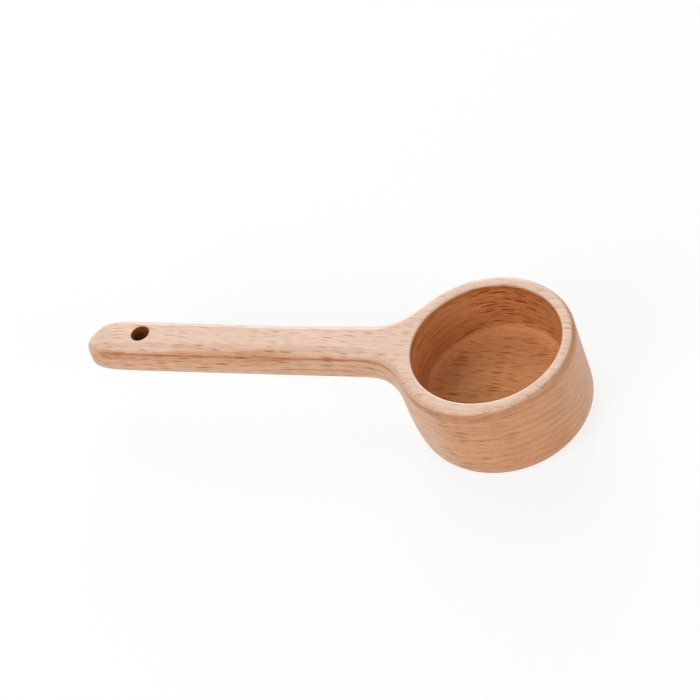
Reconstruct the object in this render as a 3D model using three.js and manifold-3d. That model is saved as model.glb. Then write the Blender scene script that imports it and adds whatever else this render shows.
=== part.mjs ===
// A wooden ladle of the scoop kind, carved from one blank of beech: a straight-walled round bowl
// with a flat rim, and a short squared handle whose top face runs flush into that rim.
// Millimetres, +Z up. The origin is the centre of the bowl's base; the handle points along -X.

import * as THREE from 'three';
import { mergeVertices } from 'three/addons/utils/BufferGeometryUtils.js';
import Module from 'manifold-3d';

// Bowl
const RIM_DIAMETER = 50.2; // across the wall, as if the rim's edge were square
const FOOT_DIAMETER = 50.2; // the same at the top of the rounded foot
const WALL_BELLY = 0.5; // how far the wall swells between foot and rim
const BOWL_HEIGHT = 28.4;
const FOOT_ROUND_WIDTH = 4;
const FOOT_ROUND_HEIGHT = 5;
const RIM_OUTER_ROUND = 1.3;

// Cavity
const CAVITY_DIAMETER = 42.2; // just below the rim's inner edge
const CAVITY_OFFSET = 0.3; // the cavity lies this far off the bowl's axis, leaving more wood at the neck
const CAVITY_DEPTH = 17.4;
const CAVITY_DRAFT = 0.2; // how much narrower the cavity's radius is at the floor fillet
const FLOOR_FILLET = 3.4;
const RIM_INNER_ROUND = 0.4;

// Handle
const HANDLE_REACH = 124.2; // from the bowl's axis to the tip
const HANDLE_THICKNESS = 11.4;
const TIP_WIDTH = 12; // the handle narrows a little from its tip to its neck
const NECK_WIDTH = 11.2;
const HANDLE_UPPER_ROUND = 2.7;
const HANDLE_LOWER_ROUND = 2.2;
const TIP_LENGTH = 14; // how far back the tip's rounding reaches
const TIP_SQUARENESS = 2.8; // 2 rounds the tip's outline as an ellipse, more fills its corners
const TIP_DROP = 5.4; // how far the top face comes down at the tip
const TIP_UNDER_ROUND = 1.3; // rounding of the tip's lower front edge

// Neck
const NECK_RADIUS = 19.5; // hollow curve from the handle's side to the bowl's wall, seen from above
const COVE_RADIUS = 4.5; // hollow curve from the handle's underside to the bowl's wall
const NECK_SINK = 0.15; // how deep the neck's curve runs into the wall, so that the surfaces cross
const COVE_SINK = 0.45; // the same for the cove

// Upper edges of rim and handle: the rounding starts level and stops this far short of upright,
// where it meets the side at a crisp line. Degrees on its arc.
const UPPER_EDGE_STOP = 40;

// Hanging hole
const HOLE_DIAMETER = 5.3;
const HOLE_FROM_TIP = 18.9;
const HOLE_EDGE_ROUND = 0.25;

// Fineness of the round surfaces
const BOWL_SEGMENTS = 96;
const HOLE_SEGMENTS = 32;
const LARGE_ARC_STEPS = 8;
const RIM_ARC_STEPS = 5;
const SMALL_ARC_STEPS = 4;
const TIP_STEPS = 10;
const NECK_STEPS = 20;
const UNDERSIDE_STEPS = 12;
const BELLY_STEPS = 5;

const CUTTER_MARGIN = 5; // how far a cutter stands out of what it cuts
const MERGE_TOLERANCE = 1e-4;

const RIM_RADIUS = RIM_DIAMETER / 2;
const FOOT_RADIUS = FOOT_DIAMETER / 2;
const RIM_EDGE_Z = BOWL_HEIGHT - RIM_OUTER_ROUND;
const FLOOR_Z = BOWL_HEIGHT - CAVITY_DEPTH;
const HANDLE_UNDERSIDE_Z = BOWL_HEIGHT - HANDLE_THICKNESS;

const wasm = await Module();
wasm.setup();

// A closed geometry as a solid that can be joined and cut.
function toSolid(geometry) {
  geometry.deleteAttribute('normal');
  geometry.deleteAttribute('uv');
  const merged = mergeVertices(geometry, MERGE_TOLERANCE);
  const corners = merged.index.array;
  const triVerts = [];
  for (let i = 0; i < corners.length; i += 3) {
    const [a, b, c] = corners.subarray(i, i + 3);
    if (a !== b && b !== c && c !== a) triVerts.push(a, b, c);
  }
  const mesh = new wasm.Mesh({
    numProp: 3,
    vertProperties: new Float32Array(merged.attributes.position.array),
    triVerts: new Uint32Array(triVerts),
  });
  return new wasm.Manifold(mesh);
}

function toGeometry(solid) {
  const mesh = solid.getMesh();
  const geometry = new THREE.BufferGeometry();
  geometry.setAttribute('position', new THREE.BufferAttribute(mesh.vertProperties, 3));
  geometry.setIndex(new THREE.BufferAttribute(mesh.triVerts, 1));
  geometry.computeVertexNormals();
  return geometry;
}

// Points of a round or elliptic arc in a profile, from one angle to another, in degrees.
function arc(centreX, centreY, radiusX, radiusY, from, to, steps) {
  const curve = new THREE.EllipseCurve(
    centreX, centreY, radiusX, radiusY,
    THREE.MathUtils.degToRad(from), THREE.MathUtils.degToRad(to), to < from,
  );
  return curve.getPoints(steps);
}

// The rounding of an upper edge, from the side up to the level face. Its level end is given.
function upperEdge(levelX, levelY, width, height, steps) {
  const stop = THREE.MathUtils.degToRad(UPPER_EDGE_STOP);
  const radiusX = width / Math.cos(stop);
  const radiusY = height / (1 - Math.sin(stop));
  return arc(levelX, levelY - radiusY, radiusX, radiusY, UPPER_EDGE_STOP, 90, steps);
}

// A profile of (radius, height) points turned about the Z axis.
function revolve(profile, segments) {
  return new THREE.LatheGeometry(profile, segments).rotateX(Math.PI / 2);
}

// Radius of the bowl's outer wall at a height: it leans out from foot to rim and swells between them.
function wallRadius(z) {
  const up = THREE.MathUtils.clamp(THREE.MathUtils.inverseLerp(FOOT_ROUND_HEIGHT, RIM_EDGE_Z, z), 0, 1);
  return THREE.MathUtils.lerp(FOOT_RADIUS, RIM_RADIUS, up) + WALL_BELLY * 4 * up * (1 - up);
}

// The bowl as a solid block: base, rounded foot, wall, rounded rim.
function bowlBlock() {
  const footX = FOOT_RADIUS - FOOT_ROUND_WIDTH;
  const rimX = RIM_RADIUS - RIM_OUTER_ROUND;
  const wall = [];
  for (let i = 1; i < BELLY_STEPS; i++) {
    const z = THREE.MathUtils.lerp(FOOT_ROUND_HEIGHT, RIM_EDGE_Z, i / BELLY_STEPS);
    wall.push(new THREE.Vector2(wallRadius(z), z));
  }
  return revolve([
    new THREE.Vector2(0, 0),
    ...arc(footX, FOOT_ROUND_HEIGHT, FOOT_ROUND_WIDTH, FOOT_ROUND_HEIGHT, -90, 0, LARGE_ARC_STEPS),
    ...wall,
    ...upperEdge(rimX, BOWL_HEIGHT, RIM_OUTER_ROUND, RIM_OUTER_ROUND, RIM_ARC_STEPS),
    new THREE.Vector2(0, BOWL_HEIGHT),
  ], BOWL_SEGMENTS);
}

// What is turned out of the bowl: flat floor, floor fillet, wall, and the softened inner edge of the rim.
function cavityCutter() {
  const wallRadius = CAVITY_DIAMETER / 2;
  const filletRadius = wallRadius - CAVITY_DRAFT - FLOOR_FILLET;
  const edgeRadius = wallRadius + RIM_INNER_ROUND;
  const edgeZ = BOWL_HEIGHT - RIM_INNER_ROUND;
  return revolve([
    new THREE.Vector2(0, FLOOR_Z),
    ...arc(filletRadius, FLOOR_Z + FLOOR_FILLET, FLOOR_FILLET, FLOOR_FILLET, -90, 0, LARGE_ARC_STEPS),
    ...arc(edgeRadius, edgeZ, RIM_INNER_ROUND, RIM_INNER_ROUND, 180, 90, SMALL_ARC_STEPS),
    new THREE.Vector2(edgeRadius, BOWL_HEIGHT + CUTTER_MARGIN),
    new THREE.Vector2(0, BOWL_HEIGHT + CUTTER_MARGIN),
  ], BOWL_SEGMENTS).translate(CAVITY_OFFSET, 0, 0);
}

// The hollow curve of the neck, seen from above: tangent to the handle's side and to the bowl's wall.
const neckReach = RIM_RADIUS - NECK_SINK + NECK_RADIUS;
const neckCentreY = NECK_WIDTH / 2 + NECK_RADIUS;
const neckCentreX = -Math.sqrt(neckReach ** 2 - neckCentreY ** 2);
const neckSweep = Math.acos(neckCentreY / neckReach);

// Stations of the handle from its tip into the bowl's wall: place, half width, and size of the
// rounded edges. The edges are stretched sideways in the flare, so that they keep their true width
// square to the outline, and they go over into the rim's own rounding.
function handleStations() {
  const stations = [];
  for (let i = 0; i <= TIP_STEPS; i++) {
    const inward = Math.cos((i / TIP_STEPS) * Math.PI / 2);
    const x = -HANDLE_REACH + TIP_LENGTH * (1 - inward);
    const half = TIP_WIDTH / 2 * (1 - inward ** TIP_SQUARENESS) ** (1 / TIP_SQUARENESS);
    stations.push({ x, half, upper: HANDLE_UPPER_ROUND, lower: HANDLE_LOWER_ROUND, stretch: 1 });
  }
  for (let i = 0; i <= NECK_STEPS; i++) {
    const turn = (i / NECK_STEPS) * neckSweep;
    const x = neckCentreX + NECK_RADIUS * Math.sin(turn);
    const half = neckCentreY - NECK_RADIUS * Math.cos(turn);
    const upper = THREE.MathUtils.lerp(HANDLE_UPPER_ROUND, RIM_OUTER_ROUND, i / NECK_STEPS);
    stations.push({ x, half, upper, lower: HANDLE_LOWER_ROUND, stretch: 1 / Math.cos(turn) });
  }
  return stations;
}

// How far a quarter-round curve has left its tangent: 0 at the near end of its run, 1 at the far end.
function quarterRound(run) {
  return 1 - Math.sqrt(1 - THREE.MathUtils.clamp(run, 0, 1) ** 2);
}

// One section of the handle: a rounded rectangle, lower at the tip's nose. Near the bowl its underside
// drops into the cove, and its sides follow the swelling of the wall that they run into.
function handleSection({ x, half, upper, lower, stretch }) {
  const fromTip = x + HANDLE_REACH;
  const top = BOWL_HEIGHT - TIP_DROP * quarterRound(1 - fromTip / TIP_LENGTH);
  const bottom = HANDLE_UNDERSIDE_Z + TIP_UNDER_ROUND * quarterRound(1 - fromTip / TIP_UNDER_ROUND);
  const middle = (top + bottom) / 2;
  const upperWidth = Math.min(upper * stretch, half);
  const upperHeight = Math.min(upper, half);
  const lowerWidth = Math.min(lower * stretch, half);
  const lowerHeight = Math.min(lower, half);
  const flat = half - lowerWidth;
  const upperSide = upperEdge(half - upperWidth, top, upperWidth, upperHeight, SMALL_ARC_STEPS);
  const lowerSide = (y, from, to) =>
    arc(y, bottom + lowerHeight, lowerWidth, lowerHeight, from, to, SMALL_ARC_STEPS);
  const underside = [];
  for (let i = 1; i < UNDERSIDE_STEPS; i++) {
    underside.push(new THREE.Vector2(THREE.MathUtils.lerp(flat, -flat, i / UNDERSIDE_STEPS), bottom));
  }
  const outline = [
    ...upperSide.toReversed(),
    ...lowerSide(flat, 0, -90),
    ...underside,
    ...lowerSide(-flat, -90, -180),
    ...upperSide.map(({ x: y, y: z }) => new THREE.Vector2(-y, z)),
  ];
  return outline.map(({ x: y, y: z }) => {
    const fromAxis = Math.hypot(x, y);
    const run = 1 - (fromAxis - RIM_RADIUS + COVE_SINK) / COVE_RADIUS;
    const cove = z < middle ? COVE_RADIUS * quarterRound(run) : 0;
    const nearness = 1 - THREE.MathUtils.smoothstep(fromAxis, RIM_RADIUS, RIM_RADIUS + NECK_RADIUS);
    const swell = 1 + nearness * (wallRadius(z) - RIM_RADIUS) / fromAxis;
    return new THREE.Vector3(x * swell, y * swell, z - cove);
  });
}

// The handle with its neck, lofted through its sections and closed inside the bowl's wall.
function handleBlock() {
  const sections = handleStations().map(handleSection);
  const count = sections[0].length;
  const last = sections.length - 1;
  const index = [];
  for (let s = 0; s < last; s++) {
    for (let i = 0; i < count; i++) {
      const a = s * count + i;
      const b = s * count + (i + 1) % count;
      index.push(a, a + count, b, b, a + count, b + count);
    }
  }
  for (let i = 1; i < count - 1; i++) {
    index.push(last * count, last * count + i + 1, last * count + i);
  }
  const geometry = new THREE.BufferGeometry().setFromPoints(sections.flat());
  return geometry.setIndex(index);
}

// The hole through the handle, with softened edges at both faces.
function holeCutter() {
  const mouth = HOLE_DIAMETER / 2 + HOLE_EDGE_ROUND;
  const edge = (z, from, to) => arc(mouth, z, HOLE_EDGE_ROUND, HOLE_EDGE_ROUND, from, to, SMALL_ARC_STEPS);
  return revolve([
    new THREE.Vector2(0, HANDLE_UNDERSIDE_Z - CUTTER_MARGIN),
    new THREE.Vector2(mouth, HANDLE_UNDERSIDE_Z - CUTTER_MARGIN),
    ...edge(HANDLE_UNDERSIDE_Z + HOLE_EDGE_ROUND, -90, -180),
    ...edge(BOWL_HEIGHT - HOLE_EDGE_ROUND, 180, 90),
    new THREE.Vector2(mouth, BOWL_HEIGHT + CUTTER_MARGIN),
    new THREE.Vector2(0, BOWL_HEIGHT + CUTTER_MARGIN),
  ], HOLE_SEGMENTS).translate(HOLE_FROM_TIP - HANDLE_REACH, 0, 0);
}

const carved = toSolid(bowlBlock())
  .add(toSolid(handleBlock()))
  .subtract(toSolid(cavityCutter()))
  .subtract(toSolid(holeCutter()));

const beech = new THREE.MeshStandardMaterial({ color: 0xd8a67c, roughness: 0.55, metalness: 0 });
const body = new THREE.Mesh(toGeometry(carved), beech);
body.name = 'ladle_body';

const ladle = new THREE.Group();
ladle.add(body);

export default ladle;
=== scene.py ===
"""The looks of the wooden ladle: its carved beech body, a pale floor, soft studio light and the camera."""
import logging
import math
from collections.abc import Callable, Iterator
from contextlib import contextmanager
from dataclasses import dataclass
from enum import Enum
from typing import Union

import bmesh
import bpy
from mathutils import Matrix, Quaternion, Vector


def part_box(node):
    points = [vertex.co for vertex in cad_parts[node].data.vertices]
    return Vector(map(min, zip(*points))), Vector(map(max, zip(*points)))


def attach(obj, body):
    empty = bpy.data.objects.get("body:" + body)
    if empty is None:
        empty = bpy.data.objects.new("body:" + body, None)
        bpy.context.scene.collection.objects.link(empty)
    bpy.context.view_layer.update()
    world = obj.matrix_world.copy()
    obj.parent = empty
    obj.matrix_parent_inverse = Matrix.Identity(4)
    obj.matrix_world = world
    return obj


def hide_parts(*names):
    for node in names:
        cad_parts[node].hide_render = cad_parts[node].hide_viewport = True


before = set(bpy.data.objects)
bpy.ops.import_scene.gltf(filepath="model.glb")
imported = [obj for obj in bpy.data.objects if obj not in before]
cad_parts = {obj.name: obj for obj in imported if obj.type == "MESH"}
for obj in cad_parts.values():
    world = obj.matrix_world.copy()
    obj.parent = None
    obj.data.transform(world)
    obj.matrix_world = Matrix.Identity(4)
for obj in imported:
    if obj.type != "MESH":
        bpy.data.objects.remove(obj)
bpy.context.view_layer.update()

MM = 0.001
PLACE_TOLERANCE = 0.002 * MM
LOG = logging.getLogger("ladle")

Span = tuple[float, float]
Spans = tuple[Span, ...]
Steps = tuple[float, ...]
Triple = tuple[float, float, float]
Color = tuple[float, float, float, float]

WHITE: Color = (1.0, 1.0, 1.0, 1.0)


class Pick(Enum):
    """What an edit-mode selection is made of."""

    VERTS = "VERT"
    EDGES = "EDGE"
    FACES = "FACE"


class Heading(Enum):
    """Where a face looks."""

    UP = 1
    SIDEWAYS = 0
    DOWN = -1

    @classmethod
    def of(cls, face: bmesh.types.BMFace) -> "Heading":
        """The heading that is nearest to a face's normal."""
        return cls(round(face.normal.z))


class Bench:
    """One mesh piece under work: selects its elements by place and runs edit-mode operators on them."""

    def __init__(self, piece: bpy.types.Object) -> None:
        """Takes the piece that is worked on."""
        self.piece = piece

    @classmethod
    def cylinder(cls, name: str, sides: int, radius: float, low: Vector, height: float) -> "Bench":
        """Adds a closed cylinder that stands upright.

        Args:
            name: name of the new object.
            sides: number of flat sides.
            radius: distance from the axis to the side edges.
            low: centre of the bottom face.
            height: distance from the bottom face to the top face.

        Returns:
            A bench that holds the new object, at the origin and unscaled.
        """
        bpy.ops.object.select_all(action="DESELECT")
        middle = low + Vector((0, 0, height / 2))
        bpy.ops.mesh.primitive_cylinder_add(
            vertices=sides, radius=radius, depth=height, end_fill_type="NGON", location=middle
        )
        piece = bpy.context.object
        piece.name = piece.data.name = name
        bpy.ops.object.transform_apply(location=True, rotation=True, scale=True)
        return cls(piece)

    @contextmanager
    def editing(self) -> Iterator[None]:
        """Opens edit mode on the piece and closes it again."""
        bpy.context.view_layer.objects.active = self.piece
        bpy.ops.object.mode_set(mode="EDIT")
        yield
        bpy.ops.object.mode_set(mode="OBJECT")

    def pick(self, kind: Pick, test: Callable[..., bool]) -> int:
        """Selects the elements that pass a test, and nothing else.

        Args:
            kind: whether vertices, edges or faces are selected.
            test: says of one element whether it is selected.

        Returns:
            The number of elements selected.
        """
        bpy.ops.mesh.select_mode(type=kind.value)
        bpy.ops.mesh.select_all(action="DESELECT")
        mesh = bmesh.from_edit_mesh(self.piece.data)
        chosen = [element for element in getattr(mesh, kind.name.lower()) if test(element)]
        for element in chosen:
            element.select_set(True)
        mesh.select_flush_mode()
        bmesh.update_edit_mesh(self.piece.data)
        return len(chosen)

    def pick_edges_between(
        self, test: Callable[[Vector], bool], low: float = -math.inf, high: float = math.inf
    ) -> None:
        """Selects the edges whose two ends pass a test and whose middle lies between two places along x.

        Args:
            test: says of a point whether it may be an end of the edge.
            low: least place of the middle.
            high: greatest place of the middle.
        """

        def fits(edge: bmesh.types.BMEdge) -> bool:
            """Says whether an edge is selected."""
            return low < middle_of(edge).x < high and all(test(vert.co) for vert in edge.verts)

        self.pick(Pick.EDGES, fits)

    def pick_cap(self, sides: int, heading: Heading) -> None:
        """Selects the many-sided face that closes a round form at one end."""
        self.pick(Pick.FACES, lambda face: len(face.verts) == sides and Heading.of(face) is heading)

    def extrude(self, shift: Vector) -> None:
        """Extrudes the selected faces as one region and shifts their copy."""
        bpy.ops.mesh.extrude_region_move(TRANSFORM_OT_translate={"value": shift})

    def inset(self, border: float) -> None:
        """Draws the selected face in on its own plane and leaves a border round it."""
        bpy.ops.mesh.inset(thickness=border, depth=0)

    def resize(self, scale: Triple, centre: Vector) -> None:
        """Scales the selection about a point."""
        bpy.ops.transform.resize(value=scale, center_override=centre)

    def shift(self, by: Vector) -> None:
        """Moves the selection."""
        bpy.ops.transform.translate(value=by)

    def round_edges(self, radius: float, segments: int, profile: float = 0.5) -> None:
        """Rounds the selected edges.

        Args:
            radius: width of the rounding on each side of an edge.
            segments: number of flat strips that make up the arc.
            profile: shape of the arc, a circle at a half and flatter below it.
        """
        bpy.ops.mesh.bevel(
            offset=radius, offset_type="OFFSET", segments=segments, profile=profile,
            affect="EDGES", clamp_overlap=False,
        )

    def weigh(self, share: float) -> None:
        """Sets how much of the full rounding the selected edges get."""
        bpy.ops.transform.edge_bevelweight(value=share)

    def sharpen(self, crease: float) -> None:
        """Keeps the selected edges crisp when the piece is smoothed."""
        bpy.ops.transform.edge_crease(value=crease)

    def ring(self, height: float) -> None:
        """Cuts a loop of edges round the whole piece at a height."""
        bpy.ops.mesh.select_all(action="SELECT")
        bpy.ops.mesh.bisect(plane_co=(0, 0, height), plane_no=(0, 0, 1), threshold=PLACE_TOLERANCE)

    def apply(self, kind: str, **settings: object) -> None:
        """Adds a modifier and applies it at once.

        Args:
            kind: the modifier's type.
            settings: properties of the modifier.
        """
        bpy.context.view_layer.objects.active = self.piece
        modifier = self.piece.modifiers.new(kind.lower(), kind)
        for name, value in settings.items():
            setattr(modifier, name, value)
        bpy.ops.object.modifier_apply(modifier=modifier.name)


def near(value: float, target: float) -> bool:
    """Says whether two lengths are the same place on the piece."""
    return abs(value - target) < PLACE_TOLERANCE


def middle_of(edge: bmesh.types.BMEdge) -> Vector:
    """The middle of an edge."""
    return (edge.verts[0].co + edge.verts[1].co) / 2


def quarter_round(run: float) -> float:
    """How far a quarter-round curve has left its tangent, from 0 to 1 as its run goes from 0 to 1."""
    return 1 - math.sqrt(1 - min(max(run, 0.0), 1.0) ** 2)


@dataclass(frozen=True)
class Section:
    """One cross-section of the handle on the way from the bowl's wall to the tip.

    The middle of the section lies at x, and its ends lag behind by bow, as on a circle round the bowl. Its
    shares say how much of the full rounding the top and the lower edges that lead up to it get. It lies
    off the handle's line by lean, away from the viewer.
    """

    x: float
    half: float
    bow: float
    top: float
    bottom: float
    top_share: float
    lower_share: float
    lean: float = 0.0

    def corners(self) -> list[Vector]:
        """The section's corners: two at the top, then two at the bottom."""
        sides = (self.lean - self.half, self.lean + self.half)
        return [Vector((self.x + self.bow, y, z)) for z in (self.top, self.bottom) for y in sides]


@dataclass
class LadleBody:
    """The whole ladle, carved from one blank: bowl, neck and handle. Lengths are in metres.

    Steps along the neck, the straight run and the tip go from 0 to 1. Patches are shares of the nose.
    """

    name: str = "carved_body"
    sides: int = 24
    root_faces: int = 4
    rim_radius: float = 25.1 * MM
    wall_radius: float = 25.8 * MM
    wall_shift: float = -0.4 * MM
    foot_radius: float = 25.2 * MM
    foot_round_width: float = 4.0 * MM
    foot_round_height: float = 5.0 * MM
    foot_profile: float = 0.42
    foot_segments: int = 4
    foot_shift: Triple = (0.8 * MM, -0.5 * MM, 0.0)
    edge_round: float = 2.7 * MM
    edge_profile: float = 0.38
    edge_segments: int = 3
    rim_share: float = 0.48
    lower_share: float = 0.83
    tip_share: float = 0.06
    tip_lower_share: float = 0.12
    edge_crease: float = 0.6
    crease_reach: float = 3.24 * MM
    crease_from_tip: float = 8.4 * MM
    upright_slope: float = 0.15
    level_slope: float = 0.85
    cavity_radius: float = 21.1 * MM
    cavity_offset: float = 0.3 * MM
    cavity_depth: float = 17.4 * MM
    cavity_draft: float = 0.2 * MM
    floor_fillet: float = 3.4 * MM
    fillet_segments: int = 4
    inner_edge_round: float = 0.7 * MM
    inner_edge_segments: int = 2
    handle_thickness: float = 11.4 * MM
    tip_half: float = 6.0 * MM
    neck_half: float = 5.6 * MM
    neck_radius: float = 20 * MM
    neck_hold: float = 0.6 * MM
    neck_lean: float = 0.4 * MM
    neck_steps: Steps = (0.27, 0.54, 0.78, 1.0)
    cove_radius: float = 4.5 * MM
    run_steps: Steps = (0.2, 0.4, 0.6, 0.8)
    lean_run: float = 0.25
    tip_length: float = 14 * MM
    tip_squareness: float = 2.8
    tip_drop: float = 5.4 * MM
    tip_steps: Steps = (0.0, 0.35, 0.62, 0.82, 0.93, 0.975, 0.999)
    tip_end: float = 1.01
    tip_fade: float = 3.4
    nose_length: float = 4.5 * MM
    nose_height: float = 7 * MM
    nose_patches: Steps = (1.4, 1.2, 1.0, 0.8, 0.6)
    sanding_strokes: int = 60
    sanding_force: float = 0.5
    hole_radius: float = 2.65 * MM
    hole_from_tip: float = 18.9 * MM
    hole_edge_round: float = 0.25 * MM
    hole_sides: int = 48
    mouth_degrees: Steps = (20, 40, 60, 80)
    flat_border: float = 2 * MM
    fineness: int = 3
    smooth_degrees: float = 40

    def __post_init__(self) -> None:
        """Takes the ladle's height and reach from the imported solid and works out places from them."""
        low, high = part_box("ladle_body")
        self.top = high[2]
        self.tip_x = low[0]
        self.tip_start = self.tip_x + self.tip_length
        self.hole_x = self.tip_x + self.hole_from_tip
        self.underside = self.top - self.handle_thickness
        self.root_z = self.underside - self.cove_radius
        self.floor_z = self.top - self.cavity_depth
        self.neck_y = self.neck_half + self.neck_radius
        self.neck_reach = self.rim_radius + self.neck_radius
        self.neck_x = -math.sqrt(self.neck_reach ** 2 - self.neck_y ** 2)
        # Smoothing draws a ring of flat sides in to its limit circle, so the rings are made larger first.
        grow = 1 / (2 / 3 + math.cos(2 * math.pi / self.sides) / 3)
        self.rim_ring = self.rim_radius * grow
        self.cavity_ring = self.cavity_radius * grow

    def build(self) -> bpy.types.Object:
        """Models the ladle.

        Returns:
            The finished mesh piece, at the origin.
        """
        bench = Bench.cylinder(self.name, self.sides, self.rim_ring, Vector((0, 0, 0)), self.top)
        sections = [*self.neck_sections(), *self.run_sections(), *self.tip_sections()]
        with bench.editing():
            self.shape_wall(bench)
            self.draw_handle(bench, sections)
            self.hollow_bowl(bench)
            self.weigh_outline(bench, sections)
        bench.apply(
            "BEVEL", limit_method="WEIGHT", width=self.edge_round, segments=self.edge_segments,
            profile=self.edge_profile, use_clamp_overlap=False,
        )
        with bench.editing():
            self.crease_outline(bench)
            self.round_foot(bench)
        bench.apply("SUBSURF", levels=self.fineness, render_levels=self.fineness)
        with bench.editing():
            self.sand_nose(bench)
        self.drill_hole(bench)
        bpy.ops.object.select_all(action="DESELECT")
        bench.piece.select_set(True)
        bpy.ops.object.shade_smooth_by_angle(angle=math.radians(self.smooth_degrees))
        return bench.piece

    def shape_wall(self, bench: Bench) -> None:
        """Gives the bowl's wall its belly and draws in its foot.

        Args:
            bench: the bench that holds the plain cylinder.
        """
        bench.ring(self.root_z)
        for z, radius, shift in ((self.root_z, self.wall_radius, self.wall_shift), (0, self.foot_radius, 0)):
            bench.pick(Pick.VERTS, lambda vert, z=z: near(vert.co.z, z))
            ratio = radius / self.rim_radius
            bench.resize((ratio, ratio, 1), Vector((0, 0, z)))
            bench.shift(Vector((shift, 0, 0)))

    def root(self) -> Section:
        """Works out the handle's first section, on the bowl's wall itself.

        Returns:
            The section.
        """
        angle = math.pi * self.root_faces / self.sides
        half = self.rim_ring * math.sin(angle)
        bow = self.rim_ring * (1 - math.cos(angle))
        shares = self.rim_share, self.rim_share * self.lower_share
        return Section(-self.rim_ring, half, bow, self.top, self.root_z, *shares)

    def neck_sections(self) -> list[Section]:
        """Works out the flare of the neck, a hollow arc in plan above a cove against the bowl.

        Returns:
            The sections from the bowl to the straight run.
        """
        sweep = math.acos(self.neck_y / self.neck_reach)
        sections = []
        for turn in self.neck_steps:
            angle = (1 - turn) * sweep
            radius = self.neck_radius + self.neck_hold * math.sin(math.pi * turn)
            end_x = self.neck_x + radius * math.sin(angle)
            half = self.neck_y - radius * math.cos(angle)
            from_axis = math.hypot(end_x, half)
            bow = from_axis + end_x
            cove = quarter_round((self.rim_radius + self.cove_radius - from_axis) / self.cove_radius)
            bottom = self.underside - self.cove_radius * cove
            share = self.rim_share + (1 - self.rim_share) * turn
            shares = share, share * self.lower_share
            lean = self.neck_lean * turn
            sections.append(Section(-from_axis, half + lean, bow, self.top, bottom, *shares, lean))
        return sections

    def run_sections(self) -> list[Section]:
        """Works out the straight run of the handle, which widens a little and soon loses its lean.

        Returns:
            The sections from the neck to the tip.
        """
        sections = []
        for step in self.run_steps:
            x = self.neck_x + (self.tip_start - self.neck_x) * step
            lean = self.neck_lean * max(0.0, 1 - step / self.lean_run)
            half = self.neck_half + (self.tip_half - self.neck_half) * step + lean
            sections.append(Section(x, half, 0, self.top, self.underside, 1, self.lower_share, lean))
        return sections

    def tip_sections(self) -> list[Section]:
        """Works out the rounded tip, whose last section stands out to make up for the smoothing.

        Returns:
            The sections from the straight run to the end.
        """
        sections = []
        for step in self.tip_steps:
            x = self.tip_start - self.tip_length * (self.tip_end if step == self.tip_steps[-1] else step)
            half = self.tip_half * (1 - step ** self.tip_squareness) ** (1 / self.tip_squareness)
            top = self.top - self.tip_drop * quarter_round(step)
            fade = step ** self.tip_fade
            share = 1 - (1 - self.tip_share) * fade
            lower_share = self.lower_share - (self.lower_share - self.tip_lower_share) * fade
            sections.append(Section(x, half, 0, top, self.underside, share, lower_share))
        return sections

    def draw_handle(self, bench: Bench, sections: list[Section]) -> None:
        """Extrudes the handle out of the bowl's wall, section by section.

        Args:
            bench: the bench that holds the bowl block.
            sections: the sections from the wall to the tip.
        """
        last = self.root()
        reach = last.half

        def in_root(face: bmesh.types.BMFace) -> bool:
            """Says whether a face is a part of the wall that the handle grows from."""
            middle = face.calc_center_median()
            return (
                Heading.of(face) is Heading.SIDEWAYS
                and middle.z > self.root_z and middle.x < 0 and abs(middle.y) < reach
            )

        bench.pick(Pick.FACES, in_root)
        for section in sections:
            bench.extrude(Vector((0, 0, 0)))
            bow = section.bow / last.bow if last.bow else 1
            height = (section.top - section.bottom) / (last.top - last.bottom)
            bench.resize((bow, section.half / last.half, height), Vector((last.x, last.lean, last.top)))
            bench.shift(Vector((section.x - last.x, section.lean - last.lean, section.top - last.top)))
            last = section

    def hollow_bowl(self, bench: Bench) -> None:
        """Sinks the cavity into the bowl, with its floor fillet and the crisp inner edge of the rim.

        Args:
            bench: the bench that holds the block with its handle.
        """
        flat = math.cos(math.pi / self.sides)
        floor = Vector((self.cavity_offset, 0, self.floor_z))
        mouth = Vector((self.cavity_offset, 0, self.top))
        bench.pick_cap(self.sides, Heading.UP)
        bench.inset((self.rim_ring - self.cavity_ring) * flat)
        bench.shift(Vector((self.cavity_offset, 0, 0)))
        bench.extrude(Vector((0, 0, -self.cavity_depth)))
        ratio = 1 - self.cavity_draft / self.cavity_radius
        bench.resize((ratio, ratio, 1), floor)
        bench.pick_edges_between(
            lambda co: near(co.z, self.floor_z) and (co - floor).length > self.cavity_ring / 2
        )
        bench.round_edges(self.floor_fillet, self.fillet_segments)
        bench.pick_cap(self.sides, Heading.UP)
        bench.inset(self.flat_border)
        bench.pick_edges_between(lambda co: near((co - mouth).length, self.cavity_ring))
        bench.round_edges(self.inner_edge_round, self.inner_edge_segments)

    def weigh_outline(self, bench: Bench, sections: list[Section]) -> None:
        """Marks the edges to round: the rim's outer edge and the handle's top edges, then its lower edges.

        Args:
            bench: the bench that holds the hollowed block.
            sections: the handle's sections, whose corners carry the edges.
        """
        root = self.root()
        last = sections[-1]

        def on_end(co: Vector) -> bool:
            """Says whether a point lies on the tip's end face."""
            return near(co.x, last.x)

        def is_corner(co: Vector, which: slice) -> bool:
            """Says whether a point is one of the sections' corners."""
            corners = (corner for section in sections for corner in section.corners()[which])
            return any((co - corner).length < PLACE_TOLERANCE for corner in corners)

        def in_root(co: Vector) -> bool:
            """Says whether a point lies between the two sides of the handle's root."""
            return co.x < 0 and abs(co.y) < root.half - PLACE_TOLERANCE

        def on_rim(co: Vector) -> bool:
            """Says whether a point lies on the rim's outer edge and not inside the handle's root."""
            return near(co.z, self.top) and near(co.xy.length, self.rim_ring) and not in_root(co)

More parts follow.
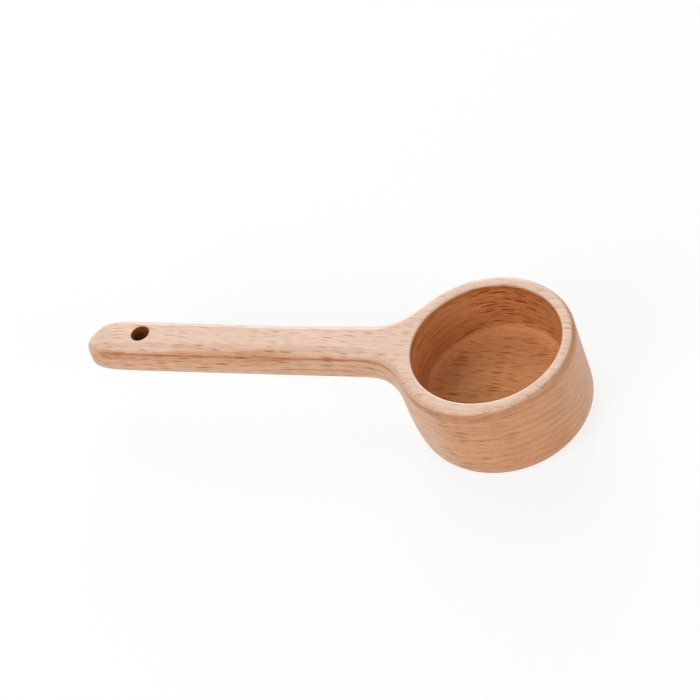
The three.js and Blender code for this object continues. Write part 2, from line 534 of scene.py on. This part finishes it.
        def on_top(co: Vector) -> bool:
            """Says whether a point lies on the ladle's top outline."""
            return on_rim(co) or is_corner(co, slice(0, 2)) or (on_end(co) and near(co.z, last.top))

        def on_bottom(co: Vector) -> bool:
            """Says whether a point lies on the outline of the handle's underside."""
            return is_corner(co, slice(2, 4)) or (on_end(co) and near(co.z, last.bottom))

        high = math.inf
        for section in [root, *sections]:
            low = section.x + section.bow - PLACE_TOLERANCE
            bench.pick_edges_between(on_top, low, high)
            bench.weigh(section.top_share)
            bench.pick_edges_between(on_bottom, low, high)
            bench.weigh(section.lower_share)
            high = low

    def crease_outline(self, bench: Bench) -> None:
        """Keeps a crisp line where the top rounding meets the wall and the handle's sides.

        Args:
            bench: the bench that holds the rounded block.
        """

        def in_reach(co: Vector) -> bool:
            """Says whether a point lies outside the cavity, high enough and not too near the tip."""
            high = co.z > self.top - self.crease_reach and co.x > self.tip_x + self.crease_from_tip
            return high and (co - Vector((self.cavity_offset, 0, co.z))).length >= self.cavity_ring

        def under_rounding(edge: bmesh.types.BMEdge) -> bool:
            """Says whether an edge parts the top rounding from an upright face."""
            low, *_, high = sorted(face.normal.z for face in edge.link_faces)
            return abs(low) < self.upright_slope < high < self.level_slope and in_reach(middle_of(edge))

        LOG.info("outline edges kept crisp: %d", bench.pick(Pick.EDGES, under_rounding))
        bench.sharpen(self.edge_crease)

    def round_foot(self, bench: Bench) -> None:
        """Rounds the foot of the bowl, higher than wide, and keeps its base flat.

        Args:
            bench: the bench that holds the rounded block.
        """
        bench.pick_edges_between(lambda co: near(co.z, 0))
        bench.round_edges(self.foot_round_width, self.foot_segments, self.foot_profile)
        bench.pick(Pick.VERTS, lambda vert: vert.co.z < self.foot_round_width + PLACE_TOLERANCE)
        bench.resize((1, 1, self.foot_round_height / self.foot_round_width), Vector((0, 0, 0)))
        bench.shift(Vector(self.foot_shift))
        bench.pick_cap(self.sides, Heading.DOWN)
        bench.inset(self.flat_border)

    def sand_nose(self, bench: Bench) -> None:
        """Takes the last unevenness off the top of the tip's nose, over smaller and smaller patches.

        Args:
            bench: the bench that holds the smoothed ladle.
        """
        for patch in self.nose_patches:
            end = self.tip_x + self.nose_length * patch
            low = self.top - self.nose_height * patch
            bench.pick(Pick.VERTS, lambda vert, end=end, low=low: vert.co.x < end and vert.co.z > low)
            bpy.ops.mesh.vertices_smooth(factor=self.sanding_force, repeat=self.sanding_strokes)

    def drill_hole(self, bench: Bench) -> None:
        """Drills the hanging hole, with softened mouths at both faces.

        Args:
            bench: the bench that holds the smoothed ladle.
        """
        edge = self.hole_edge_round
        low = Vector((self.hole_x, 0, self.underside + edge))
        length = self.handle_thickness - 2 * edge
        drill = Bench.cylinder("drill", self.hole_sides, self.hole_radius, low, length)
        with drill.editing():
            for heading in (Heading.UP, Heading.DOWN):
                drill.pick_cap(self.hole_sides, heading)
                radius, rise = self.hole_radius, 0.0
                for degrees in self.mouth_degrees:
                    angle = math.radians(degrees)
                    wider = self.hole_radius + edge * (1 - math.cos(angle))
                    higher = edge * math.sin(angle)
                    drill.extrude(Vector((0, 0, heading.value * (higher - rise))))
                    drill.resize((wider / radius, wider / radius, 1), low)
                    radius, rise = wider, higher
                drill.extrude(Vector((0, 0, heading.value * edge)))
        bench.apply("BOOLEAN", operation="DIFFERENCE", solver="EXACT", object=drill.piece)
        bpy.data.objects.remove(drill.piece)

    def dress(self, piece: bpy.types.Object, material: bpy.types.Material) -> None:
        """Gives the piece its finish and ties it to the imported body.

        Args:
            piece: the modelled ladle.
            material: the beech material.
        """
        piece.data.materials.clear()
        piece.data.materials.append(material)
        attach(piece, "root")
        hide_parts("ladle_body")


class Field:
    """A value that varies over a surface: a shader socket that takes part in arithmetic."""

    def __init__(self, socket: bpy.types.NodeSocket) -> None:
        """Takes the socket that carries the value."""
        self.socket = socket

    def feed(self, slot: bpy.types.NodeSocket) -> None:
        """Links the value into an input socket."""
        self.socket.id_data.links.new(self.socket, slot)

    def math(self, operation: str, *terms: "Term") -> "Field":
        """Makes one math node.

        Args:
            operation: the node's operation.
            terms: its inputs, numbers or fields, in order.

        Returns:
            The node's result.
        """
        node = self.socket.id_data.nodes.new("ShaderNodeMath")
        node.operation = operation
        for slot, term in zip(node.inputs, terms):
            settle(slot, term)
        return Field(node.outputs[0])

    def __add__(self, other: "Term") -> "Field":
        """The sum."""
        return self.math("ADD", self, other)

    def __radd__(self, other: "Term") -> "Field":
        """The sum, from the right."""
        return self.math("ADD", other, self)

    def __sub__(self, other: "Term") -> "Field":
        """The difference."""
        return self.math("SUBTRACT", self, other)

    def __rsub__(self, other: "Term") -> "Field":
        """The difference, from the right."""
        return self.math("SUBTRACT", other, self)

    def __mul__(self, other: "Term") -> "Field":
        """The product."""
        return self.math("MULTIPLY", self, other)

    def __rmul__(self, other: "Term") -> "Field":
        """The product, from the right."""
        return self.math("MULTIPLY", other, self)

    def __truediv__(self, other: "Term") -> "Field":
        """The quotient."""
        return self.math("DIVIDE", self, other)

    def __pow__(self, other: "Term") -> "Field":
        """The power."""
        return self.math("POWER", self, other)

    def __abs__(self) -> "Field":
        """The absolute value."""
        return self.math("ABSOLUTE", self)

    def fraction(self) -> "Field":
        """The part after the decimal point."""
        return self.math("FRACT", self)

    def root(self) -> "Field":
        """The square root."""
        return self.math("SQRT", self)

    def at_least(self, other: "Term") -> "Field":
        """The larger of two values."""
        return self.math("MAXIMUM", self, other)

    def step(self, start: float, full: float) -> "Field":
        """A smooth step from 0 at the start to 1 where it is full, which may be the lower value."""
        limits = {"Value": self, "From Min": start, "From Max": full}
        return Graph(self.socket.id_data).field(
            "MapRange", "Result", {"interpolation_type": "SMOOTHSTEP"}, limits
        )


Term = Union[int, float, tuple, Field]
Settings = dict[str, object]
Inputs = dict[Union[str, int], Term]
Place = tuple[Field, Field, Field]


def settle(slot: bpy.types.NodeSocket, term: Term) -> None:
    """Gives an input socket its value, or links a field into it.

    Args:
        slot: the input socket.
        term: the number, colour or field that goes in.
    """
    if isinstance(term, Field):
        term.feed(slot)
    else:
        slot.default_value = term


class Graph:
    """The node tree of one material or world."""

    def __init__(self, tree: bpy.types.NodeTree) -> None:
        """Takes the tree that the nodes go into."""
        self.tree = tree

    def fill(self, node: bpy.types.Node, inputs: Inputs) -> None:
        """Gives a node's input sockets their values.

        Args:
            node: the node.
            inputs: values or fields for its input sockets, by name, or by number where names repeat.
        """
        for key, term in inputs.items():
            named = (slot for slot in node.inputs if slot.name == key and slot.enabled)
            settle(node.inputs[key] if isinstance(key, int) else next(named), term)

    def node(self, kind: str, settings: Settings, inputs: Inputs) -> bpy.types.Node:
        """Makes a node.

        Args:
            kind: the node's type, without the common prefix.
            settings: properties of the node, set before its sockets are looked up.
            inputs: values or fields for its input sockets.

        Returns:
            The node.
        """
        node = self.tree.nodes.new("ShaderNode" + kind)
        for name, value in settings.items():
            setattr(node, name, value)
        self.fill(node, inputs)
        return node

    def field(self, kind: str, output: str, settings: Settings, inputs: Inputs) -> Field:
        """Makes a node and gives one of its outputs."""
        node = self.node(kind, settings, inputs)
        return Field(next(slot for slot in node.outputs if slot.name == output and slot.enabled))

    def parts(self, vector: Field) -> Place:
        """Splits a vector into its three values."""
        node = self.node("SeparateXYZ", {}, {"Vector": vector})
        return Field(node.outputs["X"]), Field(node.outputs["Y"]), Field(node.outputs["Z"])

    def cells(self, place: Place, size: Triple) -> Field:
        """Joins a place's three values to a vector that counts cells of a size."""
        x, y, z = (part / length for part, length in zip(place, size))
        return self.field("CombineXYZ", "Vector", {}, {"X": x, "Y": y, "Z": z})

    def rotated(self, vector: Field, axis: str, degrees: float) -> Field:
        """Turns a vector about an axis."""
        inputs = {"Vector": vector, "Angle": math.radians(degrees)}
        return self.field("VectorRotate", "Vector", {"rotation_type": axis}, inputs)

    def noise(self, place: Field, detail: float = 0.0) -> Field:
        """Soft noise round 0, between about -0.5 and 0.5."""
        return self.field("TexNoise", "Fac", {}, {"Vector": place, "Scale": 1.0, "Detail": detail}) - 0.5

    def mix(self, share: Field, low: Term, high: Term) -> Field:
        """Mixes two colours."""
        settings = {"data_type": "RGBA", "clamp_factor": True}
        return self.field("Mix", "Result", settings, {"Factor": share, "A": low, "B": high})


@dataclass(frozen=True)
class Grain:
    """How the grain lies in the blank. Lengths are in millimetres, turns in degrees."""

    turn: float = 3.0
    ring_turn: float = 8.0
    sway: float = 1.6
    sway_size: Triple = (38.0, 14.0, 14.0)
    ring_sway: float = 3.2
    ring_sway_size: Triple = (30.0, 16.0, 16.0)
    ring_sway_start: float = 210.0

    def turned(self, graph: Graph, vector: Field) -> Field:
        """Turns a vector so that its first part runs along the grain."""
        level = graph.rotated(vector, "Z_AXIS", self.turn)
        return graph.rotated(level, "X_AXIS", self.ring_turn)

    def place(self, graph: Graph, vector: Field) -> Place:
        """Finds a point's place in the grain, which sways gently.

        Args:
            graph: the material's node tree.
            vector: the point's place on the ladle.

        Returns:
            The places along the grain, across the rays and through the rings.
        """
        along, across, deep = graph.parts(self.turned(graph, vector))
        sway = graph.noise(graph.cells((along, across, deep), self.sway_size))
        later = along + self.ring_sway_start
        ring_sway = graph.noise(graph.cells((later, across, deep), self.ring_sway_size))
        return along, across + self.sway * sway, deep + self.ring_sway * ring_sway


@dataclass(frozen=True)
class Zone:
    """A zone of the surface. Its borders give the values of a spot's measures where it starts and is full."""

    x: Spans = ()
    y: Spans = ()
    drop: Spans = ()
    rise: Spans = ()
    out: Spans = ()
    from_lip: Spans = ()
    from_fillet: Spans = ()
    from_mouth: Spans = ()
    from_tip: Spans = ()
    upward: Spans = ()
    backward: Spans = ()
    cut: Spans = ()


class Spot:
    """One shaded point of the ladle, with its measures. Lengths are in millimetres.

    Its drop is counted from the rim, its rise from the bowl's floor and its way out from the cavity's wall.
    Its cut says how squarely the surface cuts the grain.
    """

    def __init__(self, graph: Graph, ladle: LadleBody, grain: Grain) -> None:
        """Reads the point's place and normal.

        Args:
            graph: the material's node tree.
            ladle: the body that wears the material.
            grain: how the grain lies in the body.
        """
        source = graph.node("TexCoord", {}, {})
        scale = {"Vector": Field(source.outputs["Object"]), "Scale": 1 / MM}
        vector = graph.field("VectorMath", "Vector", {"operation": "SCALE"}, scale)
        normal = Field(source.outputs["Normal"])
        self.graph = graph
        self.ladle = ladle
        self.place = graph.parts(vector)
        self.x, self.y, z = self.place
        self.grain_place = grain.place(graph, vector)
        self.drop = ladle.top / MM - z
        self.rise = z - ladle.floor_z / MM
        self.out = self.from_axis(ladle.cavity_offset) - ladle.cavity_radius / MM
        self.from_lip = self.out - ladle.inner_edge_round / MM
        self.from_fillet = self.out + (ladle.cavity_draft + ladle.floor_fillet) / MM
        self.from_mouth = self.from_axis(ladle.hole_x) - (ladle.hole_radius + ladle.hole_edge_round) / MM
        self.from_tip = self.x - ladle.tip_x / MM
        self.backward, self.upward = graph.parts(normal)[1:]
        self.cut = abs(graph.parts(grain.turned(graph, normal))[0])

    def from_axis(self, x: float) -> Field:
        """The level distance from an upright axis that meets the ladle's middle line at x, in metres."""
        return ((self.x - x / MM) ** 2 + self.y ** 2).root()

    def cover(self, zone: Zone) -> Field:
        """Says how far the point belongs to a zone, from 0 to 1."""
        borders = ((getattr(self, name), span) for name, spans in vars(zone).items() for span in spans)
        return math.prod(measure.step(*span) for measure, span in borders)


@dataclass(frozen=True)
class Streak:
    """The dark growth streak on the near side of the handle. It follows the top edge and waves a little."""

    side: Zone = Zone(y=((-3.0, -4.4),))
    tip: Zone = Zone(x=((-88.0, -106.0),))
    run: Span = (-49.0, -63.0)
    run_waves: float = 20.0
    waves: float = 2.0
    top: float = 0.5
    tip_sink: float = 1.2
    upper: Span = (0.0, 1.0)
    lower: Span = (7.0, 4.0)

    def cover(self, spot: Spot, cloud: Field) -> Field:
        """Says how far a point belongs to the streak.

        Args:
            spot: the point.
            cloud: the slow unevenness of the wood, which makes the streak wavy.

        Returns:
            The cover, from 0 to 1.
        """
        nose = (1 - spot.from_tip / (spot.ladle.tip_length / MM)).at_least(0.0)
        fall = spot.ladle.tip_drop / MM * (1 - (1 - nose ** 2).root())
        drop = spot.drop - fall + self.waves * cloud
        top = self.top + self.tip_sink * spot.cover(self.tip)
        band = (drop - top).step(*self.upper) * drop.step(*self.lower)
        return spot.cover(self.side) * (spot.x + self.run_waves * cloud).step(*self.run) * band


@dataclass(frozen=True)
class Flecks:
    """Ray flecks: dark dashes in two sizes, each given along, across and through the grain."""

    large: Triple
    small: Triple
    large_depth: float = 0.6
    small_depth: float = 0.4
    border: Span = (0.48, 0.16)
    chance: Span = (0.15, 0.9)

    def depth(self, spot: Spot) -> Field:
        """Makes the dashes, some of them fainter than others.

        Args:
            spot: the point.

        Returns:
            The depth at the point.
        """
        graph = spot.graph
        total = 0.0
        for size, depth in ((self.large, self.large_depth), (self.small, self.small_depth)):
            place = graph.cells(spot.grain_place, size)
            cells = graph.node("TexVoronoi", {}, {"Vector": place, "Scale": 1.0})
            dash = Field(cells.outputs["Distance"]).step(*self.border)
            chance = graph.parts(Field(cells.outputs["Color"]))[0]
            total = total + depth * dash * chance.step(*self.chance)
        return total


@dataclass(frozen=True)
class Traits:
    """What the wood is like at a point: its unevenness, and how far the point belongs to the main zones,
    painted sheen and shade among them.
    """

    cloud: Field
    fibre: Field
    end: Field
    upright: Field
    turned: Field
    slope: Field
    streak: Field
    line: Field
    edge: Field
    pale: Field


@dataclass(frozen=True)
class Beech:
    """Oiled beech: pale wood with short ray flecks along its grain, growth bands and darker end grain.

    Lengths are in millimetres, colours are linear. A depth says how far a mark goes from the light to the
    dark colour. A loss or a gain says how much weaker or stronger a mark is in a zone.
    """

    light: Color = (0.68, 0.4, 0.25, 1.0)
    dark: Color = (0.3, 0.11, 0.04, 1.0)
    warm_light: Color = (0.625, 0.31, 0.155, 1.0)
    warm_dark: Color = (0.28, 0.085, 0.02, 1.0)
    # Painted sheen: these paler colours of faces that look up stand in for the sheen that light gives them.
    painted_sheen_light: Color = (0.8, 0.565, 0.435, 1.0)
    painted_sheen_dark: Color = (0.38, 0.16, 0.075, 1.0)
    # Cavity colours, darker and more saturated: partly the turned wood's own, partly painted shade and warm
    # bounce light of the hollow.
    turned_and_shaded_light: Color = (0.8, 0.39, 0.167, 1.0)
    turned_and_shaded_dark: Color = (0.3, 0.065, 0.004, 1.0)
    lip_highlight_color: Color = (0.95, 0.8, 0.69, 1.0)
    bore_shade_color: Color = (0.21, 0.058, 0.01, 1.0)

    end: Zone = Zone(cut=((0.25, 0.75),))
    upright: Zone = Zone(upward=((0.8, 0.4), (-0.8, -0.4)))
    # The turned zone is the inside of the cavity; its darker colour there is partly painted shade.
    turned: Zone = Zone(out=((0.5, 0.2),), rise=((-2.0, -1.0),), drop=((0.6, 1.0),))
    off_floor: Zone = Zone(upward=((0.98, 0.85),))
    # The slope is the part of the rim's rounding that cuts the grain, the edge the handle's near rounding.
    slope: Zone = Zone(upward=((0.97, 0.8), (0.2, 0.45)), cut=((0.3, 0.6),), x=((-4.0, 6.0),))
    # Painted light: on the handle's near rounding the painted sheen is weaker and the colour warmer, as the
    # top's sheen falls off there.
    edge: Zone = Zone(
        upward=((0.94, 0.76), (0.2, 0.35)), y=((-2.4, -3.4),), x=((-34.0, -46.0), (-98.0, -80.0))
    )
    # Painted shade: the line is a dark, warm band along the crease below the top rounding, less dark round
    # the bowl.
    line: Zone = Zone(
        upward=((0.015, 0.07), (0.34, 0.16)), drop=((4.0, 3.5), (0.6, 0.9)), from_tip=((4.0, 9.0),)
    )
    bowl: Zone = Zone(x=((-36.0, -20.0),))
    orange: Zone = Zone(x=((-14.0, -2.0), (30.0, 20.0)))
    # Painted sheen: faces that look up are painted paler.
    pale: Zone = Zone(upward=((0.3, 0.95),))
    # Painted highlight: a pale line along the rim's inner edge, brightest where the edge faces back towards
    # the lamps.
    lip_highlight: Zone = Zone(from_lip=((0.15, -0.15),), drop=((0.8, 0.5),))
    lip_highlight_back: Zone = Zone(backward=((-0.1, 0.5),))
    # Painted highlight: a lighter band along the floor's fillet.
    fillet: Zone = Zone(from_fillet=((1.1, 0.6), (-0.3, 0.2)), rise=((1.0, 0.5), (-1.0, -0.5)))
    # Painted shade: the inside of the hanging hole is painted dark.
    bore_shade: Zone = Zone(from_mouth=((0.1, -0.15),))
    streak: Streak = Streak()

    slope_sheen_loss: float = 0.7
    edge_sheen_loss: float = 0.4
    edge_warmth_without_sheen: float = 0.6
    lip_highlight_share: float = 0.1
    lip_highlight_back_gain: float = 0.6
    level_flecks: Flecks = Flecks(large=(5.6, 0.56, 3.0), small=(3.8, 0.36, 2.0))
    painted_sheen_fleck_loss: float = 0.2
    wall_flecks: Flecks = Flecks(large=(6.4, 4.0, 0.7), small=(4.4, 3.0, 0.45))
    end_fleck_loss: float = 0.85
    turned_fleck_gain: float = 0.6
    streak_fleck_gain: float = 0.5
    fibre_size: Triple = (9.0, 0.26, 0.26)
    fibre_detail: float = 2.0
    fibre_depth: float = 0.8
    end_fibre_loss: float = 0.6
    layer_size: Triple = (8.0, 8.0, 0.45)
    layer_detail: float = 1.0
    layer_depth: float = 0.5
    cloud_size: Triple = (45.0, 5.0, 5.0)
    cloud_detail: float = 1.0
    cloud_depth: float = 0.2
    ring_width: float = 2.4
    ring_rise: Span = (0.45, 1.0)
    ring_depth: float = 0.16
    painted_sheen_ring_loss: float = 0.7
    turned_ring_loss: float = 0.6
    cloud_ring_gain: float = 1.5
    base_depth: float = 0.16
    slope_depth: float = 0.16
    crease_shade_depth: float = 0.34
    bowl_line_loss: float = 0.4
    fillet_highlight_depth: float = -0.1
    turned_wall_shade_depth: float = 0.36
    streak_depth: float = -0.04

    roughness: float = 0.45
    fibre_roughness: float = 0.2
    end_roughness: float = 0.12
    turned_roughness: float = 0.68
    gloss: float = 0.12
    oil: float = 0.5
    oil_roughness: float = 0.34
    bump_strength: float = 0.5
    bump_height: float = 0.03

    def build(self, ladle: LadleBody) -> bpy.types.Material:
        """Makes the material.

        Args:
            ladle: the body that wears it, whose hole and rim the finish has to find.

        Returns:
            The material.
        """
        material = bpy.data.materials.new("beech")
        material.use_nodes = True
        graph = Graph(material.node_tree)
        spot = Spot(graph, ladle, Grain())
        traits = self.traits(spot)
        depth = self.depth(spot, traits)
        roughness = self.roughness + self.fibre_roughness * traits.fibre + self.end_roughness * traits.end
        bump = {"Strength": self.bump_strength, "Distance": self.bump_height * MM, "Height": 1 - depth}
        graph.fill(
            material.node_tree.nodes["Principled BSDF"],
            {
                "Base Color": self.color(spot, traits, depth),
                "Roughness": roughness + (self.turned_roughness - self.roughness) * traits.turned,
                "Specular IOR Level": self.gloss,
                "Coat Weight": self.oil * (1 - traits.turned),
                "Coat Roughness": self.oil_roughness,
                "Normal": graph.field("Bump", "Normal", {}, bump),
            },
        )
        return material

    def traits(self, spot: Spot) -> Traits:
        """Finds out what the wood is like at a point.

        Args:
            spot: the point.

        Returns:
            The traits that the marks and the colours are made from.
        """
        graph = spot.graph
        cloud = graph.noise(graph.cells(spot.grain_place, self.cloud_size), self.cloud_detail)
        fibre = graph.noise(graph.cells(spot.grain_place, self.fibre_size), self.fibre_detail)
        turned, slope, edge = (spot.cover(zone) for zone in (self.turned, self.slope, self.edge))
        streak = self.streak.cover(spot, cloud)
        # Painted sheen on faces that look up: none in the cavity or on the streak, and less on the slope and
        # the near edge.
        pale = spot.cover(self.pale) * (1 - turned) * (1 - streak)
        pale = pale * (1 - self.slope_sheen_loss * slope) * (1 - self.edge_sheen_loss * edge)
        end, upright, line = (spot.cover(zone) for zone in (self.end, self.upright, self.line))
        return Traits(cloud, fibre, end, upright, turned, slope, streak, line, edge, pale)

    def depth(self, spot: Spot, traits: Traits) -> Field:
        """Adds up the marks of the wood, with painted shade and highlights among them.

        Args:
            spot: the point.
            traits: what the wood is like there.

        Returns:
            How far the point goes from the light to the dark colour.
        """
        graph = spot.graph
        layers = graph.noise(graph.cells(spot.place, self.layer_size), self.layer_detail)
        level = (1 - traits.upright) * (1 - traits.turned * spot.cover(self.off_floor))
        flecks = self.level_flecks.depth(spot) * level * (1 - self.painted_sheen_fleck_loss * traits.pale)
        wall = self.wall_flecks.depth(spot) * traits.upright * (1 - self.end_fleck_loss * traits.end)
        flecks = flecks + wall * (1 + self.turned_fleck_gain * traits.turned)
        ring = (spot.grain_place[2] / self.ring_width).fraction().step(*self.ring_rise)
        ring = ring * (1 - self.painted_sheen_ring_loss * traits.pale) * (1 - self.turned_ring_loss * traits.turned)
        return (
            self.base_depth
            + flecks * (1 + self.streak_fleck_gain * traits.streak)
            + self.fibre_depth * traits.fibre * (1 - self.end_fibre_loss * traits.end)
            + self.layer_depth * layers * traits.upright
            + self.cloud_depth * traits.cloud
            + self.ring_depth * ring * (1 + self.cloud_ring_gain * traits.cloud)
            + self.slope_depth * traits.slope
            # Painted shade along the crease below the top rounding.
            + self.crease_shade_depth * traits.line * (1 - self.bowl_line_loss * spot.cover(self.bowl))
            # Painted highlight on the floor's fillet.
            + self.fillet_highlight_depth * spot.cover(self.fillet)
            # Painted shade on the cavity's walls, on top of the turned wood's own darker tone.
            + self.turned_wall_shade_depth * traits.turned * traits.upright
            + self.streak_depth * traits.streak
        )

    def color(self, spot: Spot, traits: Traits, depth: Field) -> Field:
        """Mixes the colour of the wood, with its painted sheen, highlights and shade.

        Args:
            spot: the point.
            traits: what the wood is like there.
            depth: how far it goes from the light to the dark colour.

        Returns:
            The colour.
        """
        graph = spot.graph
        # Warm tint: the wood's own on the streak, the end-grain slope and the orange zone, and painted light
        # on the crease shade and the near edge.
        warm = traits.streak + traits.slope + traits.line + spot.cover(self.orange)
        warm = warm + self.edge_warmth_without_sheen * traits.edge
        light = graph.mix(traits.pale, graph.mix(warm, self.light, self.warm_light), self.painted_sheen_light)
        dark = graph.mix(traits.pale, graph.mix(warm, self.dark, self.warm_dark), self.painted_sheen_dark)
        # Inside the cavity the colours go darker and more saturated: partly the turned wood, partly painted
        # shade and bounce light.
        light = graph.mix(traits.turned, light, self.turned_and_shaded_light)
        dark = graph.mix(traits.turned, dark, self.turned_and_shaded_dark)
        # Painted highlight along the rim's inner edge.
        lip_highlight = spot.cover(self.lip_highlight) * (self.lip_highlight_share + self.lip_highlight_back_gain * spot.cover(self.lip_highlight_back))
        color = graph.mix(lip_highlight, graph.mix(depth, light, dark), self.lip_highlight_color)
        # Painted shade inside the hanging hole.
        return graph.mix(spot.cover(self.bore_shade), color, self.bore_shade_color)


def look(place: Triple, target: Triple) -> Quaternion:
    """The turn of a camera or lamp that looks from one place at another."""
    return (Vector(target) - Vector(place)).to_track_quat("-Z", "Y")


@dataclass(frozen=True)
class Viewpoint:
    """The camera, at the photograph's viewing angle. Lengths are in metres, the lens is in millimetres."""

    eye: Triple = (0.18033, -0.35182, 0.44269)
    target: Triple = (-0.03818, -0.00405, 0.0284)
    roll_degrees: float = 22.42
    lens: float = 107.97
    sensor: float = 36

    def build(self) -> None:
        """Makes the camera and sets it as the scene's."""
        camera = bpy.data.objects.new("camera", bpy.data.cameras.new("camera"))
        bpy.context.scene.collection.objects.link(camera)
        camera.data.lens = self.lens
        camera.data.sensor_width = self.sensor
        aim = look(self.eye, self.target).to_matrix().to_4x4()
        roll = Matrix.Rotation(-math.radians(self.roll_degrees), 4, "Z")
        camera.matrix_world = Matrix.Translation(self.eye) @ aim @ roll
        bpy.context.scene.camera = camera


@dataclass(frozen=True)
class Lamp:
    """A soft square lamp that looks at a point on the ladle. Lengths are in metres."""

    name: str
    place: Triple
    size: float
    watts: float
    aim: Triple = (-0.03, 0.0, 0.02)

    def build(self) -> None:
        """Makes the lamp."""
        lamp = bpy.data.objects.new(self.name, bpy.data.lights.new(self.name, "AREA"))
        bpy.context.scene.collection.objects.link(lamp)
        lamp.data.size = self.size
        lamp.data.energy = self.watts
        lamp.location = self.place
        lamp.rotation_euler = look(self.place, self.aim).to_euler()


def shown(graph: Graph) -> Field:
    """Tells the rays that show the surroundings from those that only light the ladle.

    Args:
        graph: the node tree of the floor or the world.

    Returns:
        1 for a ray from the camera, straight, by a reflection or through a clear thing, and else 0.
    """
    rays = graph.node("LightPath", {}, {})
    kinds = ("Is Camera Ray", "Is Glossy Ray", "Is Transmission Ray")
    straight, glossy, through = (Field(rays.outputs[kind]) for kind in kinds)
    return straight.at_least(glossy.at_least(through))


@dataclass(frozen=True)
class Studio:
    """The pale floor, the white surroundings and the lamps. Lengths are in metres."""

    floor_radius: float = 3.0
    floor_sides: int = 64
    floor_color: Color = (0.95, 0.95, 0.95, 1.0)
    floor_glow: float = 0.8
    world_strength: float = 0.36
    lamps: tuple[Lamp, ...] = (
        Lamp("window", place=(-0.39, 0.63, 0.67), size=0.8, watts=4.2),
        Lamp("left fill", place=(-0.37, -0.684, 0.574), size=0.5, watts=4.3),
        Lamp("right fill", place=(0.9, -0.4, 0.33), size=0.5, watts=3.2),
        Lamp("back fill", place=(-0.35, 0.95, 0.2), size=0.5, watts=4.0),
    )

    def build(self) -> None:
        """Makes the floor, the world and the lamps."""
        self.make_floor()
        self.make_world()
        for lamp in self.lamps:
            lamp.build()
        bpy.context.scene.view_settings.view_transform = "Standard"

    def make_floor(self) -> None:
        """Makes the round floor that the ladle stands on."""
        bpy.ops.object.select_all(action="DESELECT")
        bpy.ops.mesh.primitive_circle_add(
            vertices=self.floor_sides, radius=self.floor_radius, fill_type="NGON", location=(0, 0, 0)
        )
        floor = bpy.context.object
        floor.name = "floor"
        material = bpy.data.materials.new("floor")
        material.use_nodes = True
        graph = Graph(material.node_tree)
        matte = graph.field("BsdfDiffuse", "BSDF", {}, {"Color": self.floor_color})
        glow = graph.field("Emission", "Emission", {}, {"Color": WHITE, "Strength": 1.0})
        share = shown(graph) * self.floor_glow
        blend = graph.field("MixShader", "Shader", {}, {0: share, 1: matte, 2: glow})
        graph.fill(material.node_tree.nodes["Material Output"], {"Surface": blend})
        floor.data.materials.append(material)

    def make_world(self) -> None:
        """Makes the even white surroundings."""
        world = bpy.data.worlds.new("surroundings")
        bpy.context.scene.world = world
        world.use_nodes = True
        graph = Graph(world.node_tree)
        strength = self.world_strength + shown(graph) * (1 - self.world_strength)
        graph.fill(world.node_tree.nodes["Background"], {"Color": WHITE, "Strength": strength})


def main() -> None:
    """Builds the camera, the ladle and the studio, in that order."""
    logging.basicConfig(level=logging.INFO)
    Viewpoint().build()
    ladle = LadleBody()
    piece = ladle.build()
    ladle.dress(piece, Beech().build(ladle))
    LOG.info("%s: %d faces", piece.name, len(piece.data.polygons))
    Studio().build()


if __name__ == "__main__":
    main()
